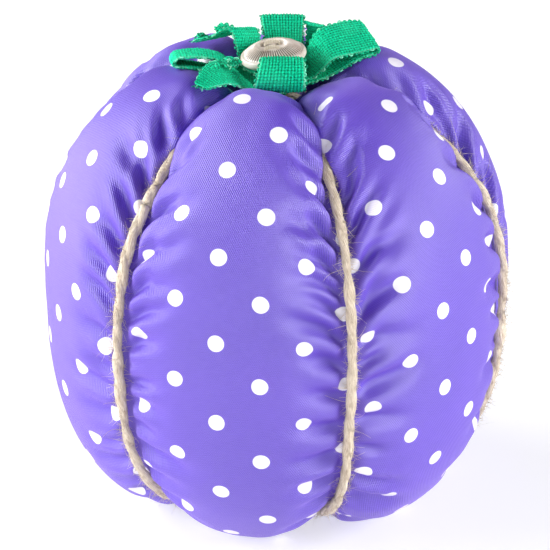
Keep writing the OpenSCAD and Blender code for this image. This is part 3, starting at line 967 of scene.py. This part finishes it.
def make_ribbons():
    """The ribbon leaves. Every course repeats the CAD part's."""
    lower = leg(-44, [
        (22.4, 5.1, -8, 0, 0.35), (20.4, 5.9, -14, 0, 0.55), (17.2, 6.5, -24, 0, 0.72),
        (13.5, 5.6, -32, 0.6, 0.8), (10.5, 3.3, -26, 1.4, 0.75), (8, 1.1, -14, 1.8, 0.7),
        (6.4, 0.2, -6, 1.4, 0.7), (4.4, 0, 0, 0.6, 0.8), (1, 0),
    ]) + leg(-34, [
        (-4, 0, 0, 0, 0.7), (-9, 0.2, 0, 0.2, 0.5), (-11.8, 1, 0, 0.3, 0.5),
        (-13.6, 3.8, 0, 0.4, 0.5), (-14.4, 7, 0, 0.5, 0.5), (-14.2, 9, 0, 0.6, 0.5),
        (-13, 9.8, 0, 0.6, 0.5),
    ])
    make_ribbon("lower_ribbon", "ribbon_lower_strip", lower,
                frayed(lower, 0, 1, 1.4, 1.0) + tuft(lower[3], [-0.6, 1.8, 1.6], 2.1, 110)
                + tuft(lower[2], [-0.8, 1.4, 0.8], 0.8, 16))
    side = leg(103, [(-0.6, PLY)]) + leg(112, [
        (4, PLY), (8, 1.6, 2), (12, 3.4, 8), (16, 5.4, 12), (19, 6.3, 13), (20.6, 6.7, 14),
        (21.5, 7.5, 16), (20.6, 8.3, 19), (17, 8.2, 24), (13.5, 7.9, 22), (11.2, 7.2, 16),
        (9.8, 5.8, 8), (8.6, 4), (6.6, 2.1), (4, 2 * PLY),
    ]) + leg(95, [
        (-1, 2 * PLY), (-5, 2 * PLY, 0, 0.8, 0.75), (-7.6, 2.4, 0, 1.2, 0.7),
        (-9.6, 3.8, -4, 1.2, 0.7), (-12, 5.9, -8, 0.9, 0.8), (-16, 7.2, -10),
        (-20.6, 7.1, -10), (-22, 6.1, -10), (-21.4, 5.1, -10), (-19.6, 4.9, -10),
        (-16, 4.2, -10, 0.2), (-12, 2.8, -8, 0.9, 0.8), (-9, 1.9, -4, 1.2, 0.7),
        (-6, 1.4, 0, 0.8, 0.75),
    ]) + leg(103, [(-1.1, PLY)])
    make_ribbon("side_ribbon", "ribbon_side_loops", side)
    back_left = leg(-138, [
        (-1, 3 * PLY), (2.6, 3 * PLY, 0, 0.4, 0.8), (4.6, 3 * PLY, 2, 0.8, 0.7),
        (6.8, 3.4, 6, 0.8, 0.7), (8.4, 6.2, 10, 0.6, 0.7), (9.4, 8.6, 12, 0.4, 0.75),
        (10.5, 9.6, 12, 0.4, 0.8), (12.4, 9, 10, 1.2, 0.7), (14.5, 7.8, 6, 3, 0.6),
        (18.6, 6.4, 4, 5.7, 0.3),
    ])
    make_ribbon("back_left_ribbon", "ribbon_back_left_tail", back_left,
                frayed(back_left, -1, -2, 1.1, 1.4) + tuft(back_left[-2], [0.8, 0, 1.2], 1.9, 80)
                + tuft(back_left[-1], [0.6, 0, 0.5], 1.0, 24))
    make_ribbon("front_back_ribbon", "ribbon_front_back_loops", leg(0, [
        (1, 4 * PLY, 0, 0.6), (6, 3.1, 0, 0.6), (10, 2.6, 0, 0.6), (12.6, 3, 0, 0.4, 1.04),
        (14, 4.8, 0, 0.6), (13.8, 7.2, 0, 0.9, 0.95), (12, 9, 0, 1.1, 0.9),
        (10.2, 9.2, 0, 1.1, 0.88), (9, 7.8, 0, 1, 0.88), (8.4, 5.8, 0, 1, 0.9),
        (7, 4.6, 0, 0.8, 0.95), (4, 4.1, 0, 0.6), (0, 5 * PLY, 0, 1.2, 0.95),
        (-5, 4.5, 0, 1.6, 0.8), (-8, 6.2, 0, 1.5, 0.8), (-10.6, 8.6, 0, 1.3, 0.85),
        (-12.4, 10.4, 0, 1.2, 0.9), (-14.4, 10.2, 0, 1.2, 0.9), (-14.6, 8, 0, 1.2, 0.85),
        (-12.2, 5, 0, 1.4, 0.8), (-8, 3.5, 0, 1.6, 0.8), (-4, 4 * PLY, 0, 1.6, 0.85),
        (-1, 4 * PLY, 0, 1.6),
    ]))


# ---- button and thread ----

def at_button(points):
    """From the button's own frame to the object's."""
    p = np.asarray(points, float)
    c, n = math.cos(BUTTON_TILT), math.sin(BUTTON_TILT)
    x, y, z = p[..., 0], c * p[..., 1] - n * p[..., 2], n * p[..., 1] + c * p[..., 2]
    c, n = math.cos(BUTTON_ROLL), math.sin(BUTTON_ROLL)
    return np.stack([c * x - n * z + BUTTON_X, y, n * x + c * z + BUTTON_Z], -1)


RIDGES = 60
RIDGE_H = 0.16
DISH_R = 3.3
BUTTON_TOP = BUTTON_RIM_T + BUTTON_DOME
# radius and height of the turned section, from the middle underneath to the middle on top
BUTTON_SECTION = [(0.01, 0), (4.6, 0), (6.2, 0.05), (6.9, 0.6), (7.0, 1.1), (6.8, 1.7), (6.45, 1.9),
                  (6.25, 1.88), (6.05, 2.1), (5.3, 2.62), (4.4, 3.06), (3.7, BUTTON_TOP - 0.06),
                  (DISH_R, BUTTON_TOP), (2.95, 3.2), (2.6, 2.92), (1.5, 2.8), (0.01, 2.76)]
# what the material reads as a radius down in the holes, where it paints them dark as painted shade
HOLE_SHADE_U = -8.0


def make_button():
    """A turned button: a rolled rim, a ridged dome and a dished middle with four holes."""
    profile, _ = rounded_curve(BUTTON_SECTION, 0.15)
    sides = RIDGES * 4
    a = np.arange(sides) * 2 * math.pi / sides
    r, z = profile[:, [0]], profile[:, [1]]
    band = smooth_step((r - DISH_R) / 0.4) * smooth_step((6.2 - r) / 0.3) * (z > 1.5)
    ridge = RIDGE_H * band * np.cos(RIDGES * a)[None, :]
    ring = np.stack([r * np.cos(a), r * np.sin(a), z + ridge], -1)
    rows = len(profile)
    verts = np.concatenate([ring.reshape(-1, 3), [[0, 0, profile[0, 1]], [0, 0, profile[-1, 1]]]])
    disc = new_mesh("pearl_button", verts, capped_faces(rows, sides))
    drills = []
    for x in (-1, 1):
        for y in (-1, 1):
            path = np.array([[x * HOLE_PITCH / 2, y * HOLE_PITCH / 2, h] for h in (-1.0, 5.0)])
            drills.append(tube(path, HOLE_D / 2, 32))
    verts, faces, _, _ = joined(drills)
    drill = new_mesh("drill", verts, faces, smooth=False)
    cut = disc.modifiers.new("holes", "BOOLEAN")
    cut.operation, cut.solver, cut.object = "DIFFERENCE", "EXACT", drill
    depsgraph = bpy.context.evaluated_depsgraph_get()
    cut_mesh = bpy.data.meshes.new_from_object(disc.evaluated_get(depsgraph))
    disc.modifiers.clear()
    disc.data = cut_mesh
    bpy.data.objects.remove(drill)
    count = len(disc.data.vertices)
    co = np.zeros(count * 3)
    disc.data.vertices.foreach_get("co", co)
    flat = co.reshape(-1, 3) / MM
    radius = np.hypot(flat[:, 0], flat[:, 1])
    # the holes' lower ends get the radius that paints them dark: painted shade
    set_uv(disc, "rim", np.where((flat[:, 2] < 0.1) & (radius < DISH_R), HOLE_SHADE_U, radius),
           np.arctan2(flat[:, 0], -flat[:, 1]) / (2 * math.pi) * RIDGES)
    placed = at_button(flat) * MM
    disc.data.vertices.foreach_set("co", placed.ravel())
    disc.data.update()
    finish_piece(disc, PEARL, "button")


THREAD_R = 0.18
# how far each strand of a stitch lies from its middle, sideways and up
STRANDS = [(-0.19, 0.0), (0.19, 0.02), (0.0, 0.26), (-0.08, -0.16)]


def make_button_thread():
    """Two stitches of four strands, each down through a pair of holes and the ribbons."""
    parts = []
    deep = -(BUTTON_Z - STACK_Z) - 0.4
    for y in (-1, 1):
        for dy, dz in STRANDS:
            x = HOLE_PITCH / 2
            bow = 0.25 * rng.normal()
            points = [(-x, 0, deep), (-x, 0, 1.4), (-x * 0.98, 0, 2.8), (-x * 0.6, bow * 0.5, 3.4),
                      (0, bow, 3.5), (x * 0.6, bow * 0.5, 3.4), (x * 0.98, 0, 2.8), (x, 0, 1.4),
                      (x, 0, deep)]
            line, _ = rounded_curve([(p[0], p[2], p[1]) for p in points], 0.25)
            across = line[:, 2] + dy + y * HOLE_PITCH / 2
            line = np.stack([line[:, 0], across, line[:, 1] + dz], -1)
            parts.append(tube(at_button(line), THREAD_R, 8))
    piece_of("stitches", parts, "strand", COTTON, "button_thread")


def make_knot():
    """The knot under the leaves and the cut ends that lie out from it."""
    t = np.linspace(0, 2 * math.pi, 90, endpoint=False)
    centre = np.array([-4.2, -3.2, STACK_Z - 2.2])
    loop = np.stack([np.sin(t) + 2 * np.sin(2 * t), np.cos(t) - 2 * np.cos(2 * t),
                     -np.sin(3 * t)], -1)
    parts = plies(centre + loop * 0.5, True, np.full(90, 0.55))
    for swing in (-164, -136):
        a = math.radians(swing)
        s = np.linspace(0, 1, 30)[:, None]
        away = np.array([math.cos(a), math.sin(a), 0.18])
        line = centre + s * away * 4.4 - s ** 2 * np.array([0, 0, 0.6])
        parts += plies(line, False, np.full(30, 0.6))
        parts += stray_fibres(line, 40, 0.6, 2.4, 0.05)
    piece_of("jute_knot", parts, "strand", JUTE, "twine_knot")


def running_stitch(name, node, z):
    """A drawn-up thread round one opening of the tube."""
    a = np.linspace(0, 2 * math.pi, 96, endpoint=False)
    r = 1.1 + 0.12 * np.sin(STITCHES_ROUND * a)
    path = np.stack([r * np.cos(a), r * np.sin(a), z + 0.15 * np.cos(STITCHES_ROUND * a)], -1)
    piece_of(name, [tube(path, 0.22, 8, closed=True)], "strand", SEWING, node)


def make_seam():
    """The stitches of the tube's seam, inside the back lobe."""
    a = math.radians((GROOVE_DIRS[3] + GROOVE_DIRS[4]) / 2)
    share = np.linspace(0.04, 0.96, 47)
    parts = []
    for lo, hi in zip(share[:-1], share[1:]):
        r, z, _ = by_length(crown, np.linspace(lo, lo + (hi - lo) * 0.7, 5))
        r = r - 0.95 * np.sqrt(np.clip(1 - ((z - WAIST_Z) / WAIST_Z) ** 2, 0, 1))
        z = z - 0.95 * np.clip((z - WAIST_Z) / WAIST_Z, -1, 1)
        path = np.stack([r * math.sin(a), -r * math.cos(a), z], -1)
        parts.append(tube(path, 0.12, 6))
    piece_of("seam_stitches", parts, "strand", SEWING, "side_seam_thread")


# ---- stage ----

FLOOR_HALF = 3.0


def make_stage():
    """The pale floor."""
    floor = bpy.data.meshes.new("floor")
    h = FLOOR_HALF
    floor.from_pydata([(-h, -h, 0), (h, -h, 0), (h, h, 0), (-h, h, 0)], [], [(0, 1, 2, 3)])
    stage = bpy.data.objects.new("floor", floor)
    bpy.context.scene.collection.objects.link(stage)
    s = Shader("floor", (0.5, 0.5, 0.5, 1), 0.6, Emission_Strength=0.58)
    s.surface.inputs["Emission Color"].default_value = (1, 1, 1, 1)
    stage.data.materials.append(s.material)


def aim(thing, target):
    """Turn a light or the camera towards a point."""
    direction = Vector(target) - thing.location
    thing.rotation_euler = direction.to_track_quat("-Z", "Y").to_euler()


# name, place and size in m, and power in W of each soft light, all aimed at the body's middle
LIGHTS = [("left", (-0.91, -0.18, 0.39), 0.6, 11.5),
          ("left_back", (-0.78, 0.42, 0.48), 0.5, 8.0),
          ("left_front", (-0.62, -0.62, 0.52), 0.5, 1.0),
          ("front_low", (0.0, -0.98, 0.22), 0.5, 3.6),
          ("right", (0.93, -0.16, 0.39), 0.6, 13.0)]
LIGHT_TARGET = (0, 0, 0.05)
WORLD_STRENGTH = 0.04


def make_lights():
    """Five round area lights and a faint white world."""
    world = bpy.data.worlds.new("world")
    world.use_nodes = True
    world.node_tree.nodes["Background"].inputs[0].default_value = (1, 1, 1, 1)
    world.node_tree.nodes["Background"].inputs[1].default_value = WORLD_STRENGTH
    bpy.context.scene.world = world
    for name, place, size, watts in LIGHTS:
        light = bpy.data.lights.new(name, "AREA")
        light.shape = "DISK"
        light.size = size
        light.energy = watts
        made = bpy.data.objects.new(name, light)
        bpy.context.scene.collection.objects.link(made)
        made.location = place
        aim(made, LIGHT_TARGET)


CAMERA_ELEVATION = math.radians(23.6)
CAMERA_DISTANCE = 0.600
CAMERA_SCALE = 2758.4          # focal length in pixels of the frame
CAMERA_PIVOT = Vector((0, 0, 0.048))
CAMERA_TARGET = (-0.0004, 0, 0.0493)
FRAME_PX = 550


def make_camera():
    """The camera, at the photograph's viewing angle."""
    data = bpy.data.cameras.new("camera")
    data.sensor_width = 36
    data.lens = CAMERA_SCALE / FRAME_PX * data.sensor_width
    data.clip_start = 0.01
    camera = bpy.data.objects.new("camera", data)
    bpy.context.scene.collection.objects.link(camera)
    away = Vector((0, -math.cos(CAMERA_ELEVATION), math.sin(CAMERA_ELEVATION)))
    camera.location = CAMERA_PIVOT + CAMERA_DISTANCE * away
    aim(camera, CAMERA_TARGET)
    bpy.context.scene.camera = camera


# the turns of twine, in the order they are tied
WRAPS = [("left_twine", "twine_wrap_left"), ("centre_twine", "twine_wrap_centre"),
         ("right_twine", "twine_wrap_right")]
STITCHES_ROUND = 9

make_camera()
make_stage()
make_lights()
cover_points = make_cover()
make_fill(cover_points)
for wrap_turn, (wrap_name, wrap_node) in enumerate(WRAPS):
    make_wrap(wrap_name, wrap_node, GROOVE_DIRS[wrap_turn], wrap_turn)
make_knot()
make_ribbons()
make_button()
make_button_thread()
running_stitch("top_drawstitch", "top_gathering_thread", POLE_TOP - 0.5)
running_stitch("base_drawstitch", "base_gathering_thread", BASE_DIMPLE - CROWN_SINK + 0.4)
make_seam()

bpy.context.scene.view_settings.view_transform = "Standard"
